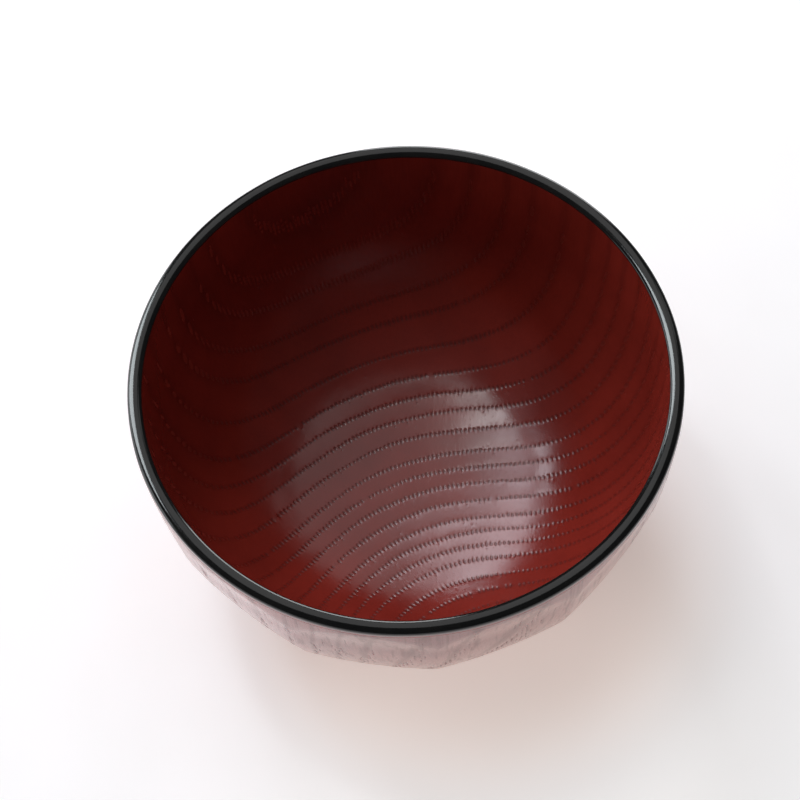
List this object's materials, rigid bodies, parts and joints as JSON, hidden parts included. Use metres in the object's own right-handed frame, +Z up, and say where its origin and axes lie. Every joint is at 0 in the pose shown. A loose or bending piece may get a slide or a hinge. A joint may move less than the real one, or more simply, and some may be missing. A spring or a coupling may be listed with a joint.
{
  "type": "rice bowl",
  "caption": "Deep round wooden bowl on a ring foot, facets carved round its outside, red lacquer inside and out with a black lacquered lip.",
  "frame": {"origin": "centre of the circle on which the foot ring stands", "axes": "+Z up along the turning axis of the bowl, -Y towards the front"},
  "size_m": [0.12, 0.12, 0.066],
  "materials": {
    "turned_wood": "turned, sealed under lacquer",
    "red_lacquer_inside": "wiped red lacquer, semi-gloss, open grain",
    "black_lacquer": "black lacquer, gloss",
    "red_lacquer_outside": "wiped red lacquer, semi-gloss, open grain",
    "foot_lacquer": "wiped red lacquer, satin"
  },
  "bodies": {
    "root": {"wood_body": "turned_wood", "interior_lacquer": "red_lacquer_inside", "rim_lacquer": "black_lacquer", "exterior_lacquer": "red_lacquer_outside", "foot_lacquer": "foot_lacquer"}
  },
  "joints": []
}
